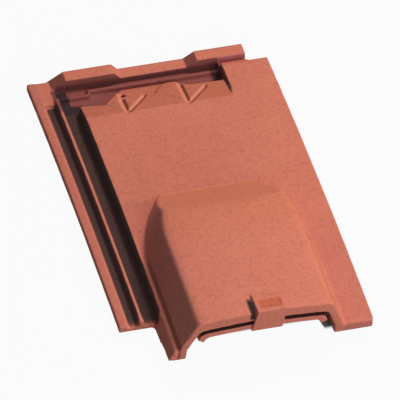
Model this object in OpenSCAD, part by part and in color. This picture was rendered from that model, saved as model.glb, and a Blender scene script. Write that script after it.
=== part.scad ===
// Interlocking clay roof tile with a ventilation hood over its nose and a clip-in vent insert.
// X runs across the tile from the side lock to the cover edge, Y from the nose to the head, Z up.

/* [Tile] */
// Overall width of the tile
tile_w = 258; // [245:1:285]
// Length from the nose line to the head
tile_l = 440; // [425:1:470]
// Thickness of the plate
plate_t = 13; // [12:0.5:15]
// Rise of the long camber at mid length
camber = 7.4; // [4:0.2:10]
// Drop of the left nose foot below the underside of the plate
nose_drop = 3; // [2:0.5:5]
// Length of that foot
nose_l = 26; // [20:1:34]
// Forward lean of the nose face, in degrees
nose_lean = 12; // [8:0.2:16]
// Plan radius of the right nose corner
nose_r = 8; // [5:0.5:12]

/* [Side lock] */
// Width of the lock along the left edge
lock_w = 43.2; // [42:0.2:48]
// Depth of the flange below the pan
flange_drop = 10.5; // [9:0.5:12]
// Width of the flange
flange_w = 8.4; // [7:0.2:10]
// Underside of the lock and of the head below the pan
lock_base = 19; // [18:0.5:22]
// Thickness of the wall under the pan that carries the lock
lock_wall = 8; // [6:0.5:10]
// Width of the rib between the two grooves
rib_w = 5.6; // [4.5:0.1:6.5]
// Place of the rib from the left edge
rib_x = 21.2; // [20:0.2:23]
// Height of the rib above the flange
rib_h = 4; // [3:0.5:5]
// Depth of the two grooves below the flange
groove_d = 4; // [3:0.5:5]
// Where the lock stops short of the nose
lock_end = 53; // [46:1:62]
// Clearance between the lock and the next tile's cover edge
lock_clear = 1.2; // [0.8:0.1:1.6]
// Spread of the leaning wall between the lock and the nose
skirt_w = 4.4; // [3:0.2:6]
// Reach of the web that rounds the corner between the lock and that wall
web_w = 17; // [14:1:20]
// Length of that web
web_l = 36; // [30:1:40]

/* [Head lock] */
// Depth of the rim along the head
rim_d = 16; // [13:0.5:18]
// Height of the low middle rim above the flange
rim_h = 3; // [2:0.5:5]
// Height of the two end blocks above the low rim
block_h = 8; // [6:0.5:10]
// Length of the left block from the pan's left edge
block_w = 49.6; // [46:0.2:56]
// Run of the left block's slope down to the low rim
block_slope = 7; // [5:0.5:10]
// Reach of the right block beyond the landing
pad_w = 22; // [18:1:26]
// Run of the right block's slope down to the low rim
pad_slope = 12; // [9:0.5:15]
// Distance of the right block from the cover edge
pad_gap = 20; // [16:1:24]
// Length of the ramp from the pan down to the channel
ramp_l = 44; // [38:1:48]
// Fall of the ramp over its length
ramp_fall = 8; // [6:0.5:9]
// Distance of the channel's front edge from the head
channel_d = 36; // [34:0.5:38]
// Width of the flat landing at the right of the channel
landing_w = 52; // [48:1:58]
// Distance of the plate's end from the head
landing_d = 28; // [26:0.5:31]
// Width of the channel's left bay
bay_w = 26.6; // [22:0.2:32]
// Depth of that bay
bay_d = 24; // [18:1:28]
// Width of the channel's right bay
dip_w = 54; // [46:1:60]
// Depth of that bay
dip_d = 11; // [8:0.5:13]
// Height of the ridge along the channel
ridge_h = 5; // [3.5:0.5:6]
// Width of that ridge at its foot
ridge_w = 7; // [6:0.5:9]
// Distance of the hanging step from the head
batten_d = 66; // [60:1:72]
// Diameter of the nail hole
nail_d = 5; // [4:0.5:6]
// Place of the left vee from the pan's left edge
vee_1 = 47.6; // [40:0.2:54]
// Place of the right vee from the pan's left edge
vee_2 = 114.6; // [106:0.2:122]
// Length of the left vee's left arm
arm_1 = 26; // [22:1:30]
// Length of the right vee's left arm
arm_2 = 38; // [30:1:42]
// Depth of the vees
vee_d = 2.2; // [1.5:0.1:3]

/* [Hood] */
// Width of the hood at its foot
hood_w = 176; // [164:4:180]
// Gap from the pan's left edge to the hood's foot
hood_gap = 5.6; // [4:0.2:8]
// Length of the hood from the nose line to its back
hood_l = 225; // [205:1:240]
// Height of the hood's side folds above the pan
hood_h = 46; // [42:1:50]
// Lean of the side walls, in degrees from upright
wall_lean = 20; // [15, 16, 17, 18, 19, 20, 21, 21.5, 22.5, 23, 24]
// Rise of the crowned top between the folds
crown = 4.6; // [3:0.2:6]
// Where the side walls start to sweep in, from the nose line
sweep_y = 118; // [106:1:126]
// Plan radius of that sweep
sweep_r = 165; // [160, 165]
// Radius of the folds between the walls and the top
fold_r = 9; // [6, 6.5, 7, 8.5, 9, 9.5, 10, 10.5, 11, 11.5, 12]
// Lean of the slope at the back, in degrees from upright
back_lean = 55; // [50:1:58]
// Radius of the fold at the top of that slope
back_r = 40; // [20:5:45]
// Thickness of the side walls
wall_t = 9; // [8:0.5:9.5]
// Thickness of the top
roof_t = 15; // [12:0.5:17]

/* [Vent insert] */
// Height of the air slit under the hood
slit = 4.6; // [3.5:0.1:6]
// Thickness of the arched strip
strip_t = 7.6; // [6:0.2:9]
// Depth of the strip into the hood
strip_d = 26; // [20:1:32]
// Width of the clip
clip_w = 31; // [26:1:36]
// Length of the clip's tongue behind the lip
clip_l = 26; // [21:1:30]
// How much shorter the tongue is at its right side
clip_skew = 7; // [3:1:9]
// Height of the clip's fold above the hood
clip_h = 5.5; // [4.5:0.1:7]
// Height of the tongue at its back end
clip_tip = 1.6; // [1.2:0.1:2.4]
// Thickness of the clip's front plate
clip_t = 3.2; // [2.6:0.1:4]
// Sideways spread of the front plate at its foot
clip_flare = 3.6; // [2:0.2:5]
// Depth of the sunk panel in the tongue
panel_d = 0.9; // [0.5:0.1:1]
// Width of the border around that panel
panel_edge = 3.6; // [3:0.2:5]
// Sideways place of the clip from the middle of the hood
clip_shift = 5; // [-8:1:8]
// Clearance between the insert and the clay
fit_gap = 0.2; // [0.1:0.05:0.4]

/* [Hidden] */
$fn = 96;
// Overlap of solids that are joined
past = 1;
// Reach of cuts beyond what they cut, up and down and along the tile
reach = 60;
overrun = 30;
// Straight pieces of the camber
camber_steps = 10;
// Distance of the nail hole from the channel
nail_in = 12;
// Depth of the channel's left bay beside the pan's left edge
bay_side = 20;
// Run of the slanting end of the channel's right bay
dip_run = 14;
// Distance of the channel's ridge from the rim, and its step forward in the left bay
ridge_in = 9;
ridge_step = 6;
// Place of that step from the pan's left edge
ridge_x = 17.6;
// Reach of the vees' right arms across the ramp and along it
arm_x = 26;
arm_y = 27;
// Reach of the raised field from its vee at its left corner and at the channel, and its length up the ramp
field_w = 30;
field_top = 12;
field_l = 28;
// Run of the lock's end under the landing, in front of the plate's end and behind it
land_front = 20;
land_back = 4;
// Where the left block starts to rise, from the flange
block_x = 14;
// Depth of the neck that joins the clip to the strip
neck_l = 12;
// Distance of the sunk panel from the clip's front
panel_in = 6;

mid_y = tile_l / 2;
camber_r = (mid_y * mid_y + camber * camber) / (2 * camber);
// Stations along the cambered length, and the height of the pan there
stations = [for (i = [-1:camber_steps + 1]) tile_l * i / camber_steps];
camber_line = [for (y = stations) [y, sqrt(camber_r * camber_r - pow(y - mid_y, 2)) - camber_r + camber]];
function camber_z(y) = lookup(y, camber_line);

lean = tan(nose_lean);
foot_z = -plate_t - nose_drop;

flange_z = -flange_drop;
groove_z = flange_z - groove_d;
rib_top = flange_z + rib_h;
rib_end = rib_x + rib_w;
rim_y = tile_l - rim_d;
rim_z = flange_z + rim_h;
block_z = rim_z + block_h;
channel_y = tile_l - channel_d;
ramp_y = channel_y - ramp_l;
landing_x = tile_w - landing_w;
landing_y = tile_l - landing_d;
block_end = tile_w - pad_gap;
cover_pitch = tile_w - lock_w + lock_clear;
nail_at = [lock_w + block_w, channel_y - nail_in];
vees = [[lock_w + vee_1, arm_1], [lock_w + vee_2, arm_2]];

hood_x0 = lock_w + hood_gap;
hood_xc = hood_x0 + hood_w / 2;
hood_tilt = atan(camber_z(hood_l) / hood_l);
hood_root = plate_t * 0.6;
lip_y = -lean * (hood_h + crown);

strip_h = hood_h - roof_t - slit;
neck_z = strip_h - strip_t + crown;
clip_x = hood_xc + clip_shift - clip_w / 2;
clip_low = hood_h + crown + fit_gap;
clip_top = hood_h + crown + clip_h;
clip_y = -lean * clip_top - fit_gap - clip_t;
clip_back = lip_y + clip_l;
front_y = clip_y * cos(hood_tilt) - clip_top * sin(hood_tilt);

// Extrudes a section drawn in X and Z straight along Y
module along_y(y0, y1)
    translate([0, y1, 0]) rotate([90, 0, 0]) linear_extrude(y1 - y0) children();

// Extrudes a section drawn in Y and Z straight along X
module along_x(x0, x1)
    translate([x0, 0, 0]) rotate([90, 0, 90]) linear_extrude(x1 - x0) children();

// A bar of the given section from one point to another, its section drawn to the left and up
module bar(a, b) {
    d = b - a;
    run = norm([d.x, d.y]);
    translate(a) rotate([0, -atan2(d.z, run), atan2(d.y, d.x)])
        rotate([90, 0, 90]) linear_extrude(norm(d)) children();
}

// A band of the cambered tile, between two places across it, two along it and two heights from the pan
module band(x0, x1, y0, y1, low, high) {
    run = concat([y0], [for (y = stations) if (y > y0 + 0.5 && y < y1 - 0.5) y], [y1]);
    along_x(x0, x1)
        polygon(concat([for (y = run) [y, camber_z(y) + high]],
            [for (i = [len(run) - 1:-1:0]) [run[i], camber_z(run[i]) + low]]));
}

// Everything behind the leaning nose face, moved forward by a distance
module behind_nose(forward = 0)
    along_x(-past, tile_w + past)
        polygon([[lean * reach - forward, -reach], [-lean * 1.5 * reach - forward, 1.5 * reach],
            [tile_l + overrun, 1.5 * reach], [tile_l + overrun, -reach]]);

// The plate with its left nose foot, and the web beside that foot
module plate() {
    band(lock_w, tile_w, -overrun, landing_y, -plate_t, 0);
    band(lock_w, hood_xc, -overrun, nose_l, foot_z, -plate_t / 2);
    band(lock_w - skirt_w, lock_w + past, -overrun, lock_end + past, foot_z + 0.5, -past);
    translate([lock_w, lock_end, camber_z(lock_end) - lock_base + 0.8])
        linear_extrude(lock_base + groove_z - 1.2)
            polygon([[2, 3], [-web_w - 2, 3], [-0.76 * web_w, -0.06 * web_l], [-0.54 * web_w, -0.2 * web_l],
                [-0.4 * web_w, -0.42 * web_l], [-0.25 * web_w, -0.86 * web_l], [2, -web_l]]);
}

// What the leaning wall leaves free along the pan's left edge, from the nose to the lock
module skirt_cut() {
    lean_x = (skirt_w + 1.5) / (2.5 + foot_z);
    bar([lock_w, -overrun, camber_z(-overrun)], [lock_w, lock_end + 1.5, camber_z(lock_end + 1.5)])
        polygon([[-1.5 + 6 * lean_x, 6], [skirt_w - 6 * lean_x, foot_z - 3.5],
            [skirt_w + reach, foot_z - 3.5], [skirt_w + reach, 6]]);
}

// What rounds off the right nose corner
module corner_cut()
    translate([tile_w - nose_r, 0, -reach]) linear_extrude(2 * reach)
        difference() {
            translate([0, -overrun]) square([nose_r + past, overrun + nose_r - past]);
            translate([0.4, nose_r - 0.6]) circle(nose_r);
        }

// A floor with the flange and the rib standing on it, a wall up to the pan and a step at the head
module side_lock() {
    band(0, lock_w + past, lock_end, tile_l, -lock_base, groove_z);
    band(lock_w, lock_w + lock_wall, lock_end, tile_l - past, -lock_base + 0.3, -plate_t / 2);
    band(0, flange_w, lock_end, tile_l, groove_z - past, flange_z);
    band(rib_x, rib_end, lock_end, channel_y + past, groove_z - past, rib_top);
    band(past, lock_w, channel_y - 4, tile_l - past, groove_z - past, flange_z);
}

// What the next tile's lock takes out of the underside along the cover edge
module cover_relief() {
    end_y = landing_y + past;
    band(cover_pitch - lock_clear, tile_w + past, lock_end - 4, end_y, -reach, flange_z + lock_clear);
    band(cover_pitch + rib_x - lock_clear, cover_pitch + rib_end + lock_clear, lock_end - 4, end_y,
        -reach, rib_top + lock_clear);
}

// The rim along the head with a high block at each end
module rim_section()
    polygon([[flange_w + block_x, -lock_base], [flange_w + block_x, flange_z], [lock_w - 4, block_z],
        [lock_w + block_w, block_z], [lock_w + block_w + block_slope, rim_z],
        [landing_x - pad_w - pad_slope, rim_z], [landing_x - pad_w, block_z],
        [block_end - past, block_z], [block_end, -lock_base]]);

module head() {
    step_y = tile_l - batten_d;
    step_x = lock_w + lock_wall - past;
    along_y(rim_y, tile_l) rim_section();
    translate([step_x, step_y, -lock_base])
        cube([block_end - step_x - past, rim_y - step_y + 2, lock_base + flange_z + 3]);
    translate([landing_x, landing_y - land_front, -lock_base])
        cube([block_end - landing_x, land_front + land_back, lock_base]);
}

// Height of the ramp's plane, which starts above the pan before it dips under it
function ramp_z(y) = camber_z(ramp_y) + (camber_z(channel_y) - ramp_fall - camber_z(ramp_y)) * (y - ramp_y) / ramp_l;
function on_ramp(x, y) = [x, y, ramp_z(y)];

// The space above the ramp, lifted by a step
module ramp_space(lift = 0)
    along_x(lock_w - past, landing_x)
        polygon([for (p = [[ramp_y - 20, 0], [channel_y + past, 0], [channel_y + past, overrun], [ramp_y - 20, overrun]])
            [p.x, p.y > 0 ? p.y : ramp_z(p.x) + lift]]);

// The channel in front of the rim, wider in a bay at each end
module channel_space()
    translate([0, 0, groove_z]) linear_extrude(reach)
        polygon([[rib_end, rim_y], [rib_end, channel_y - bay_side], [lock_w - past, channel_y - bay_side],
            [lock_w + bay_w, channel_y - bay_d], [lock_w + block_w, channel_y], [landing_x - dip_w, channel_y],
            [landing_x - dip_w + dip_run, channel_y - dip_d + 2], [landing_x, channel_y - dip_d], [landing_x, rim_y]]);

// A ridge along the channel's floor, stepped forward in the left bay
module channel_ridge()
    for (part = [[rib_end + 2, lock_w + ridge_x + past, -ridge_step], [lock_w + ridge_x - past, landing_x, 0]])
        along_x(part[0], part[1])
            translate([rim_y - ridge_in + part[2], groove_z])
                polygon([[-ridge_w / 2, -past], [-ridge_w / 4, ridge_h], [ridge_w / 4, ridge_h], [ridge_w / 2, -past]]);

// A vee of two shallow grooves that meet at the top of the ramp
module vee(x, left_l)
    for (arm = [[-0.4, -1.9, 0, left_l], [0.3, -1.3, arm_x, arm_y]])
        bar(on_ramp(x + arm[0], ramp_y + arm[1]), on_ramp(x + arm[2], ramp_y + arm[3]))
            polygon([[4.5, past], [0.6, -vee_d], [-0.6, -vee_d], [-2, past]]);

// The raised field at the left of a vee
module facet_plan(x)
    linear_extrude(reach, center = true)
        polygon([[x - field_w, ramp_y + field_l], [x - 4, ramp_y + 7], [x - 3, channel_y],
            [x - field_top, channel_y + 4]]);

module head_cuts() {
    difference() {
        ramp_space();
        for (v = vees) facet_plan(v[0]);
    }
    ramp_space(1);
    channel_space();
    for (v = vees) vee(v[0], v[1]);
    translate([nail_at.x, nail_at.y, -reach]) cylinder(d = nail_d, h = 2 * reach, $fn = 32);
}

// How far in a leaning wall stands at a height, where a fold leads it over into a flat top
function inset_at(z, h, lean_a, r) =
    let (low = h - r)
    z <= low + r * sin(lean_a) ? z * tan(lean_a)
        : h * tan(lean_a) + r * tan((90 - lean_a) / 2) - sqrt(r * r - pow(z - low, 2));

// Plan of the hood at an inset: straight sides that run out past the nose and sweep in towards the back
function hood_plan(inset) =
    let (n = 12, turn = 50, r = sweep_r - inset, x0 = hood_w / 2 - sweep_r,
        side = [for (i = [0:n]) [x0 + r * cos(turn * i / n), sweep_y + r * sin(turn * i / n)]])
    concat([[x0 + r, -overrun]], side, [for (i = [n:-1:0]) [-side[i].x, side[i].y]], [[-x0 - r, -overrun]]);

// Layers of the hood as height and inset, up to a crowned top
function hood_layers(h, low) =
    let (side = inset_at(h, h, wall_lean, fold_r))
    concat([[low, low < -hood_root ? 0 : low * tan(wall_lean)], [0, 0]],
        [for (k = [0.3, 0.5, 0.65, 0.78, 0.87, 0.93, 0.97, 1]) [k * h, inset_at(k * h, h, wall_lean, fold_r)]],
        [for (k = [0.25, 0.5, 0.8]) [h + crown * (1 - pow(1 - k, 2)), side + k * (hood_w / 2 - side)]]);

// Side view of the hood, with a slope at the back that folds over into the top
module hood_side(h, low, back)
    along_x(hood_x0 - overrun, hood_x0 + hood_w + overrun)
        polygon(concat([[-reach, low - past], [-reach, h]],
            [for (k = [1, 0.97, 0.93, 0.87, 0.78, 0.65, 0.5, 0.3, 0])
                [back - inset_at(k * h, h, back_lean, back_r), k * h]],
            [[low < -hood_root ? back : back - low * tan(back_lean), low - past]]));

// A drafted hood: the outside, or the hollow inside it
module hood_form(h, low, side_t, back)
    intersection() {
        translate([hood_xc, 0, 0]) hull()
            for (layer = hood_layers(h, low))
                translate([0, 0, layer[0]]) linear_extrude(0.2) polygon(hood_plan(side_t + layer[1]));
        hood_side(h + crown, low, back);
    }

module hood_outside() hood_form(hood_h, -hood_root, 0, hood_l);

module hood_hollow() hood_form(hood_h - roof_t, -reach, wall_t, hood_l - roof_t / cos(back_lean));

// The hood stands straight and the plate leans under it, until both are placed
module level() rotate([-hood_tilt, 0, 0]) children();

module placed()
    translate([-tile_w / 2, -(tile_l + front_y) / 2, lock_base]) rotate([hood_tilt, 0, 0]) children();

// An arched strip that keeps the slit's distance from the inside of the hood
module strip() {
    half = hood_w / 2 - wall_t - slit;
    function arch(h, half) =
        let (side = [for (k = [0.55, 0.78, 0.87, 0.93, 0.97, 1]) [half - inset_at(k * h, h, wall_lean, fold_r), k * h]],
            n = len(side) - 1)
        concat([for (p = side) [-p.x, p.y]], [[0, h + crown]], [for (i = [n:-1:0]) side[i]]);
    outer = arch(strip_h, half);
    inner = arch(strip_h - strip_t, half - strip_t);
    along_y(-overrun, strip_d + lip_y)
        translate([hood_xc, 0])
            polygon(concat(outer, [for (i = [len(inner) - 1:-1:0]) inner[i]]));
}

// Height of the tongue's sloping top
function tongue_z(y) = clip_top + (clip_low + clip_tip - clip_top) * (y - clip_y) / (clip_back - clip_y);

// A wedge on the hood with a sunk panel, folded over the lip into a plate in front of it
module clip() {
    right = clip_x + clip_w;
    foot = neck_z - 2;
    panel_y0 = clip_y + panel_in;
    panel_y1 = clip_back - clip_skew - panel_edge;
    difference() {
        intersection() {
            along_x(clip_x - clip_flare - past, right + past)
                polygon([[clip_y - past, foot], [clip_y - past, clip_top], [clip_y + past, clip_top],
                    [clip_back, clip_low + clip_tip], [clip_back, foot]]);
            along_y(-overrun, overrun)
                polygon([[clip_x, clip_top + past], [right, clip_top + past], [right, clip_low],
                    [right - 0.4 * clip_flare, foot - past], [clip_x - clip_flare, foot - past], [clip_x, clip_low]]);
            translate([clip_x, clip_back]) linear_extrude(2 * reach)
                polygon([[-overrun, -reach], [clip_w + overrun, -reach],
                    [clip_w + overrun, -clip_skew * (1 + overrun / clip_w)], [-overrun, clip_skew * overrun / clip_w]]);
        }
        difference() {
            behind_nose(fit_gap);
            translate([0, -reach, clip_low]) cube([tile_w, tile_l, reach]);
        }
        along_x(clip_x + panel_edge, right - panel_edge)
            polygon([[panel_y0, tongue_z(panel_y0) - panel_d], [panel_y0, clip_top + past],
                [panel_y1, clip_top + past], [panel_y1, tongue_z(panel_y1) - panel_d]]);
    }
    translate([clip_x, -lean * neck_z - 2, neck_z + 0.6]) cube([clip_w, neck_l, strip_t - 1.8]);
}

module tile_body()
    color("salmon") placed() intersection() {
        union() {
            difference() {
                union() {
                    level() {
                        plate();
                        side_lock();
                        head();
                    }
                    hood_outside();
                }
                hood_hollow();
                level() {
                    skirt_cut();
                    corner_cut();
                    cover_relief();
                    head_cuts();
                }
            }
            level() channel_ridge();
        }
        behind_nose();
    }

module vent_insert()
    color("sienna") placed() intersection() {
        union() {
            intersection() { strip(); behind_nose(); }
            clip();
        }
        behind_nose(fit_gap + clip_t);
    }

tile_body();
vent_insert();
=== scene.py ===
import math

import bpy
from mathutils import Matrix, Vector

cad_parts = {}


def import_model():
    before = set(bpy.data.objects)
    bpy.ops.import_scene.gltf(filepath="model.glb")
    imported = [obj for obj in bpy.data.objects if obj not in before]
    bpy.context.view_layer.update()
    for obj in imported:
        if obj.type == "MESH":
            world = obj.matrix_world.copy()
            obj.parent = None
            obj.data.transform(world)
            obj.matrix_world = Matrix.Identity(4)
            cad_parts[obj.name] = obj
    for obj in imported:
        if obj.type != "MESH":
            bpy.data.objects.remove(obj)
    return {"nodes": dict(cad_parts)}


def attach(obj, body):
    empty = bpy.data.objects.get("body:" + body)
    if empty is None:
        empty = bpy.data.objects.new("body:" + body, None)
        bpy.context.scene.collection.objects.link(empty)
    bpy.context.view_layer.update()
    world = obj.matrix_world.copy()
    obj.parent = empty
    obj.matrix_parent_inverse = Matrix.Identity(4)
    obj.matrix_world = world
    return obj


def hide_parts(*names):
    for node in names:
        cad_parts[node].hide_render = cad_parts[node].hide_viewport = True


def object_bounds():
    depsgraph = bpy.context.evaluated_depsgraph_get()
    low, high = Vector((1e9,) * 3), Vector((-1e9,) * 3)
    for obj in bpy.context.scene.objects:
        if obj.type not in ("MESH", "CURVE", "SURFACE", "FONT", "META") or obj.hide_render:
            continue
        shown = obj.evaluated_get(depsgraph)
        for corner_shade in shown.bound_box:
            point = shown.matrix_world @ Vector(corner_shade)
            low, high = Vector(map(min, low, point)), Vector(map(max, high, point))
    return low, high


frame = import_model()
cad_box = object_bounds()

# Edges of the part in the shared frame, in metres
left, nose, ground = cad_box[0]
right, head, top = cad_box[1]
middle = (left + right) / 2


class Value:
    """One shader value; sums and products of values add Math nodes."""

    def __init__(self, shader, socket):
        self.shader = shader
        self.socket = socket

    def math(self, operation, first, second):
        return self.shader.node("Math", {"operation": operation}, {0: first, 1: second})

    def __add__(self, other):
        return self.math("ADD", self, other)

    def __radd__(self, other):
        return self.math("ADD", other, self)

    def __sub__(self, other):
        return self.math("SUBTRACT", self, other)

    def __rsub__(self, other):
        return self.math("SUBTRACT", other, self)

    def __mul__(self, other):
        return self.math("MULTIPLY", self, other)

    def __rmul__(self, other):
        return self.math("MULTIPLY", other, self)


class Shader:
    """The nodes of one material or world."""

    def __init__(self, owner):
        owner.use_nodes = True
        self.owner = owner
        self.tree = owner.node_tree
        self.tree.nodes.clear()

    def node(self, kind, settings, inputs, out=0):
        made = self.tree.nodes.new("ShaderNode" + kind)
        for key, value in settings.items():
            setattr(made, key, value)
        for key, value in inputs.items():
            if isinstance(value, Value):
                self.tree.links.new(value.socket, made.inputs[key])
            else:
                made.inputs[key].default_value = value
        return Value(self, made.outputs[out]) if len(made.outputs) else made

    def parts(self, vector):
        return [self.node("SeparateXYZ", {}, {"Vector": vector}, axis) for axis in "XYZ"]

    def locate(self):
        """Sets where a point of the surface is, in metres from the origin."""
        self.place = self.node("TexCoord", {}, {}, "Object")
        self.x, self.y, self.z = self.parts(self.place)

    def face(self):
        """Sets which way the surface faces at a point."""
        self.across, self.along, self.upward = self.parts(self.node("TexCoord", {}, {}, "Normal"))
        self.leftward = self.step(0 - self.across, (0.2, 0.5))

    def mix(self, factor, first, second, blend="MIX"):
        """A blend of two colours, which are inputs 6 and 7 and output 2 of a Mix node."""
        settings = {"data_type": "RGBA", "blend_type": blend}
        return self.node("Mix", settings, {0: factor, 6: first, 7: second}, 2)

    def tint(self, factor, base, by):
        return self.mix(factor, base, by, "MULTIPLY")

    def step(self, value, ends):
        """Zero up to the first end and one from the second, smooth between them."""
        inputs = {"Value": value, "From Min": ends[0], "From Max": ends[1]}
        return self.node("MapRange", {"interpolation_type": "SMOOTHSTEP"}, inputs)

    def until(self, value, ends):
        return 1 - self.step(value, ends)

    def between(self, value, ends):
        return self.step(value, ends[:2]) * self.until(value, ends[2:])

    def capped(self, total):
        """A sum of masks, kept to one."""
        return self.step(total, (0.0, 1.0))

    def noise(self, scale, detail, roughness=0.5):
        inputs = {"Vector": self.place, "Scale": scale, "Detail": detail, "Roughness": roughness}
        return self.node("TexNoise", {}, inputs)


def rgb(red, green, blue):
    """A colour as seen on screen, as linear values."""
    parts = [c / 255 for c in (red, green, blue)]
    return (*[c / 12.92 if c <= 0.04045 else ((c + 0.055) / 1.055) ** 2.4 for c in parts], 1.0)


def span(edge, *offsets):
    """Places along an axis, in metres, from distances in millimetres past an edge of the part."""
    return [edge + 0.001 * offset for offset in offsets]


def hood_tones(s, colour):
    """The hood's warm back, painted warm highlights on its foot and right wall, a painted cool tone of
    shade on its left wall, and a crease of painted shade with a painted lit strip beside it.
    """
    run = s.until(s.y, span(nose, 248.6, 258.6))
    back = s.between(s.y, span(nose, 98.6, 178.6, 228.6, 238.6)) * s.step(s.z, span(ground, 36, 50))
    back = back * s.until(s.along, (0.1, 0.5))
    # Painted cool tone of the shade on the hood's left-facing wall.
    cool_shade_left_wall = s.leftward * s.step(s.x, span(left, 48, 50)) * run * s.step(s.z, span(ground, 20, 30))
    # Painted light: a lighter strip on the pan beside the hood's left foot.
    strip = s.between(s.x, span(left, 42.8, 43.8, 47.2, 48.2)) * s.until(s.y, span(nose, 148.6, 208.6))
    # Painted shade darkening the crease at the foot of the hood's left wall.
    crease_shade = s.between(s.x, span(left, 47.4, 48.6, 50.4, 51.6)) * s.until(s.y, span(nose, 118.6, 178.6))
    # Painted highlight along the foot of the hood's back slope.
    foot_highlight = s.between(s.y, span(nose, 234.6, 239.6, 244.6, 248.6)) * s.until(s.x, span(right, -59, -49))
    foot_highlight = foot_highlight * s.step(s.along, (0.2, 0.4))
    # Painted highlight, warm and light, on the hood's right-facing wall.
    right_wall_highlight = s.step(s.across, (0.2, 0.5)) * s.step(s.x, span(right, -79, -69))
    right_wall_highlight = right_wall_highlight * run * s.step(s.z, span(ground, 26, 30))
    colour = s.mix(back * 0.6, colour, rgb(208, 116, 82))
    colour = s.mix(cool_shade_left_wall * 0.3, colour, rgb(218, 136, 124))
    colour = s.mix(strip * 0.5, colour, rgb(244, 142, 118))
    colour = s.tint(crease_shade * 0.6, colour, rgb(120, 112, 116))
    colour = s.mix(foot_highlight * 0.5, colour, rgb(238, 148, 112))
    return s.mix(right_wall_highlight * 0.42, colour, rgb(228, 128, 86))


def head_tones(s, colour):
    """Painted purplish shade in the channel and on the rim, painted shade on slopes that face left, on a
    dark wall by the landing and on the ramp, and painted highlight and shade on the vees on the ramp.
    """
    # Painted purplish shade on the rim's faces that turn towards the nose, and at its right end.
    rim_shade = s.step(s.y, span(head, -23.6, -18.6)) * s.step(0 - s.along, (0.45, 0.75))
    rim_end_shade = rim_shade * s.step(s.x, span(right, -52, -50))
    lock = s.step(s.x, span(left, 21, 25)) * s.until(s.x, span(right, -52.5, -51.5))
    lock = lock * s.step(s.y, span(head, -58.6, -52.6))
    # Painted purplish shade in the recessed channel below the rim.
    channel_shade = lock * s.until(s.y, span(head, -16.1, -14.1)) * s.until(s.z, span(ground, 9.5, 15))
    # Painted shade on the head's slopes that face left.
    left_slope_shade = s.leftward * s.step(s.y, span(head, -19.6, -16.6)) * s.step(s.x, span(left, 19, 24))
    # Painted dark shade on the landing's left-facing wall and on the channel's right end.
    landing_wall_shade = s.leftward * s.between(s.x, span(right, -63, -57, -49, -47))
    landing_wall_shade = landing_wall_shade * s.step(s.y, span(head, -88.6, -78.6))
    landing_wall_shade = s.capped(landing_wall_shade + channel_shade * s.step(s.x, span(right, -67, -57)))
    landing_wall_shade = landing_wall_shade * s.until(s.y, span(head, -19.6, -16.6))
    # Painted shade on the ramp, the faces of the pan that tilt towards the head.
    ramp_shade = s.step(s.y, span(head, -93.6, -86.6)) * s.step(s.x, span(left, 41, 44))
    ramp_shade = ramp_shade * s.step(s.along, (0.06, 0.14))
    vee_lit_and_shaded = s.between(s.x, span(middle, -70, -60, 60, 65))
    vee_lit_and_shaded = vee_lit_and_shaded * s.between(s.y, span(head, -85.6, -81.6, -38.6, -33.6))
    colour = s.tint(channel_shade * 0.85, colour, rgb(165, 152, 182))
    colour = s.tint(ramp_shade * 0.7, colour, rgb(235, 222, 206))
    # Painted highlight on vee faces turned right, painted shade on those turned left.
    colour = s.mix(vee_lit_and_shaded * s.step(s.across, (0.08, 0.3)) * 0.5, colour, rgb(232, 142, 112))
    colour = s.tint(vee_lit_and_shaded * s.step(0 - s.across, (0.08, 0.3)) * 0.9, colour, rgb(150, 138, 136))
    colour = s.tint(left_slope_shade * 0.85, colour, rgb(150, 150, 155))
    colour = s.tint(landing_wall_shade * 0.9, colour, rgb(85, 86, 98))
    colour = s.mix(rim_end_shade * 0.6, colour, rgb(172, 112, 120))
    return s.tint(lock * rim_shade * 0.8, colour, rgb(150, 146, 160))


def lock_tones(s, colour):
    """Painted dark shade in the grooves that run up to the head and on the rib's tip, and duller outer
    edges.
    """
    # Painted dark shade in the side lock's grooves, on their left-facing walls, in the corner by the head
    # and in the bay.
    inner = s.between(s.x, span(left, 24.7, 26, 42.8, 44.5)) * s.until(s.z, span(ground, 21, 28))
    outer = s.between(s.x, span(left, 8.5, 14, 21.5, 22.8))
    left_facing_wall_shade = s.leftward * s.between(s.x, span(left, 17, 20, 46, 48))
    groove_shade = s.capped(inner + outer + left_facing_wall_shade)
    groove_shade = groove_shade * s.step(s.y, span(nose, 62.6, 88.6)) * s.until(s.y, span(head, -44.6, -38.6))
    corner_shade = s.between(s.x, span(left, 24.7, 26, 35, 42))
    corner_shade = corner_shade * s.between(s.y, span(head, -58.6, -48.6, -19.6, -16.1))
    bay_shade = s.between(s.x, span(left, 39, 42, 49, 53)) * s.until(s.z, span(ground, 12, 16))
    bay_shade = bay_shade * s.between(s.y, span(head, -68.6, -63.6, -44.6, -38.6))
    groove_shade = s.capped(s.capped(groove_shade + corner_shade) + bay_shade)
    # Painted purplish shade on the rib's tip by the head.
    rib_tip_shade = s.between(s.x, span(left, 20.5, 21.5, 27, 29))
    rib_tip_shade = rib_tip_shade * s.between(s.y, span(head, -62.6, -54.6, -19.6, -16.6))
    edges = s.step(s.x, span(right, -35, -27)) * s.until(s.y, span(nose, 108.6, 208.6))
    edges = edges + s.until(s.x, span(left, 8.4, 10))
    colour = s.tint(groove_shade * 0.95, colour, rgb(58, 80, 102))
    colour = s.tint(rib_tip_shade * 0.8, colour, rgb(150, 136, 158))
    return s.tint(edges * 0.8, colour, rgb(236, 236, 244))


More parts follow.
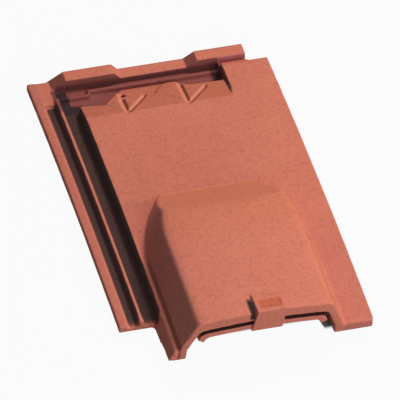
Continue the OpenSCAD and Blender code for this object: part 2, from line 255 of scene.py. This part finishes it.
def mouth_tones(s, colour):
    """Painted dark shade on the underside behind the lip, and a near-black painted shade for a notch at
    the left of the clip.
    """
    # Painted dark shade on the downward faces inside the mouth, behind the lip.
    roof_shade = s.until(s.y, span(nose, 28.6, 48.6)) * s.step(s.z, span(ground, 20, 26))
    roof_shade = roof_shade * s.step(0 - s.upward, (0.35, 0.6))
    # Painted near-black shade standing for a notch beside the clip's left side.
    notch_shade = s.between(s.x, span(middle, -10.5, -7.5, -4.5, -3)) * s.step(s.z, span(top, -18.6, -14.6))
    notch_shade = notch_shade * s.between(s.y, span(nose, 2.6, 5.6, 21.6, 28.6))
    colour = s.tint(roof_shade, colour, rgb(70, 62, 66))
    return s.tint(notch_shade, colour, rgb(20, 18, 20))


def insert_tones(s, colour):
    """Painted dark shade on the top of the strip under the slit, and a warm sunk panel on the clip."""
    # Painted dark shade on the upward faces of the strip on either side of the clip, under the slit.
    strip_top_shade = s.until(s.x, span(middle, -4.5, -3)) + s.step(s.x, span(middle, 28.5, 30))
    strip_top_shade = strip_top_shade * s.step(s.upward, (0.3, 0.6))
    panel = s.between(s.x, span(middle, 0.5, 1.5, 24, 25)) * s.step(s.z, span(top, -8.6, -6.6))
    panel = panel * s.between(s.y, span(nose, 5.6, 6.6, 19.6, 20.6))
    colour = s.tint(strip_top_shade, colour, rgb(70, 62, 66))
    return s.tint(panel, colour, rgb(240, 214, 188))


def clay(name, base, dark, head_facing_light_tone, grain, tones):
    """Unglazed fired clay with soft tone changes, a sandy grain and small dark pits."""
    s = Shader(bpy.data.materials.new(name))
    s.locate()
    s.face()
    broad = s.step(s.noise(scale=14, detail=3), (0.32, 0.7))
    cloud = s.step(s.noise(scale=210, detail=2, roughness=0.6), (0.45, 0.72))
    sand = s.noise(scale=330, detail=2, roughness=0.6)
    fine = s.noise(scale=800, detail=2, roughness=0.6)
    pits = s.step(s.noise(scale=260, detail=1), (0.74, 0.79))
    colour = s.mix(broad * 0.45, base, dark)
    # Painted tone of the light: faces turned towards the head are mixed to a warmer orange.
    colour = s.mix(s.step(s.along, (0.15, 0.75)) * 0.6, colour, head_facing_light_tone)
    colour = hood_tones(s, colour)
    colour = s.tint(cloud * 0.35, colour, rgb(218, 206, 202))
    colour = s.tint(s.step(sand, (0.42, 0.75)) * 0.24, colour, rgb(190, 172, 168))
    colour = s.tint(s.step(fine, (0.4, 0.75)) * 0.25, colour, rgb(205, 192, 188))
    colour = s.tint(pits * 0.6, colour, rgb(165, 135, 120))
    # The tone functions add painted shade and painted highlights in given places.
    for tone in tones:
        colour = tone(s, colour)
    height = sand * grain + fine * (0.5 * grain) - pits * 0.5
    bump = s.node("Bump", {}, {"Strength": 0.5, "Distance": 0.0006, "Height": height})
    inputs = {"Base Color": colour, "Roughness": 0.82, "Specular IOR Level": 0.3, "Normal": bump}
    surface = s.node("BsdfPrincipled", {}, inputs)
    s.node("OutputMaterial", {}, {"Surface": surface})
    return s.owner


def softened(name, node, voxel, rounds, limit, material):
    """A copy of a solid with its edges rounded as pressed clay is, under a limit of triangles."""
    piece = bpy.data.objects.new(name, frame["nodes"][node].data.copy())
    bpy.context.scene.collection.objects.link(piece)
    remesh = piece.modifiers.new("even", "REMESH")
    remesh.mode = "VOXEL"
    remesh.voxel_size = voxel
    smooth = piece.modifiers.new("round", "SMOOTH")
    smooth.factor = 0.5
    smooth.iterations = rounds
    even = piece.evaluated_get(bpy.context.evaluated_depsgraph_get())
    count = 2 * len(even.data.polygons)
    if count > limit:
        thin = piece.modifiers.new("thin", "DECIMATE")
        thin.ratio = limit / count
    done = piece.evaluated_get(bpy.context.evaluated_depsgraph_get())
    piece.data = bpy.data.meshes.new_from_object(done)
    piece.modifiers.clear()
    piece.data.materials.clear()
    piece.data.materials.append(material)
    piece.data.polygons.foreach_set("use_smooth", [True] * len(piece.data.polygons))
    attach(piece, "root")
    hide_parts(node)
    return piece


def seen_directly(s):
    """One where the camera or a mirror-like surface looks at it, zero for the light it sheds."""
    camera_ray = s.node("LightPath", {}, {}, "Is Camera Ray")
    glossy_ray = s.node("LightPath", {}, {}, "Is Glossy Ray")
    return camera_ray + glossy_ray + s.node("LightPath", {}, {}, "Is Transmission Ray")


def floor(size, whiteness):
    """A white floor, plain and shaded inside the mouth of the hood."""
    half = size / 2
    corners = [(-half, -half, 0), (half, -half, 0), (half, half, 0), (-half, half, 0)]
    mesh = bpy.data.meshes.new("floor")
    mesh.from_pydata(corners, [], [(0, 1, 2, 3)])
    plane = bpy.data.objects.new("floor", mesh)
    bpy.context.scene.collection.objects.link(plane)
    s = Shader(bpy.data.materials.new("pale_floor"))
    s.locate()
    forward = s.step(s.x, span(right, -51, -47)) * 0.016
    under = s.step(s.x, span(left, 49, 59)) * s.until(s.x, span(right, -39, -31))
    under = under * s.step(s.y + forward, span(nose, 48.6, 54.6))
    under = under * s.until(s.y, span(head, -78.6, -68.6))
    plain = s.node("BsdfDiffuse", {}, {"Color": (0.3, 0.3, 0.3, 1)})
    white = s.node("Emission", {}, {"Color": (1, 1, 1, 1), "Strength": 1.0})
    surface = s.node("MixShader", {}, {0: seen_directly(s) * whiteness * (1 - under), 1: plain, 2: white})
    s.node("OutputMaterial", {}, {"Surface": surface})
    mesh.materials.append(s.owner)


def world(strength, colour):
    """A dim even light from all around, seen as white."""
    s = Shader(bpy.data.worlds.new("studio"))
    bpy.context.scene.world = s.owner
    soft = s.node("Background", {}, {"Color": colour, "Strength": strength})
    white = s.node("Background", {}, {"Color": (1, 1, 1, 1), "Strength": 1.0})
    surface = s.node("MixShader", {}, {0: seen_directly(s), 1: soft, 2: white})
    s.node("OutputWorld", {}, {"Surface": surface})


def lamp(name, towards, distance, size, power, colour):
    """A square soft lamp at a distance in a direction, turned to the origin."""
    light = bpy.data.lights.new(name, "AREA")
    light.size = size
    light.energy = power
    light.color = colour
    holder = bpy.data.objects.new(name, light)
    bpy.context.scene.collection.objects.link(holder)
    direction = Vector(towards).normalized()
    holder.location = direction * distance
    holder.rotation_euler = direction.to_track_quat("Z", "Y").to_euler()


def camera(azimuth, elevation, roll, distance, lens, aim):
    """A far camera: azimuth and roll are to the left and clockwise, aim is across and up in the view."""
    a, e, r = (math.radians(v) for v in (azimuth, elevation, roll))
    level = Vector((math.cos(a), -math.sin(a), 0))
    ahead = Vector((math.sin(a) * math.cos(e), math.cos(a) * math.cos(e), -math.sin(e)))
    up = level.cross(ahead)
    across = level * math.cos(r) - up * math.sin(r)
    above = level * math.sin(r) + up * math.cos(r)
    data = bpy.data.cameras.new("camera")
    data.sensor_width = 36
    data.lens = lens
    data.clip_end = 100
    holder = bpy.data.objects.new("camera", data)
    bpy.context.scene.collection.objects.link(holder)
    place = across * aim[0] + above * aim[1] - ahead * distance
    turn = Matrix((across, above, -ahead)).transposed().to_4x4()
    holder.matrix_world = Matrix.Translation(place) @ turn
    bpy.context.scene.camera = holder


salmon = rgb(214, 123, 99)
fired_clay = clay(
    "fired_clay",
    base=salmon,
    dark=rgb(204, 113, 90),
    head_facing_light_tone=rgb(218, 119, 80),
    grain=1.0,
    tones=(head_tones, lock_tones, mouth_tones),
)
insert_clay = clay(
    "clay_coloured",
    base=salmon,
    dark=rgb(206, 115, 92),
    head_facing_light_tone=rgb(212, 122, 72),
    grain=0.6,
    tones=(insert_tones,),
)

tile = softened("clay_tile", "tile_body", voxel=0.0012, rounds=5, limit=180000, material=fired_clay)
insert = softened("vent_strip", "vent_insert", voxel=0.0006, rounds=3, limit=90000, material=insert_clay)

floor(size=12, whiteness=0.95)
world(strength=0.09, colour=(0.75, 0.95, 1.3, 1))
lamp("key", towards=(0.42, 0.3, 0.86), distance=2.2, size=0.45, power=33.4, colour=(1.0, 0.96, 0.9))
lamp("fill", towards=(0.22, -0.85, 0.5), distance=1.3, size=0.8, power=10.7, colour=(0.95, 1.0, 1.07))
camera(azimuth=17.283, elevation=43.289, roll=-2.893, distance=9.0, lens=771.9, aim=(0.00041, 0.0162))

bpy.context.scene.view_settings.view_transform = "Standard"
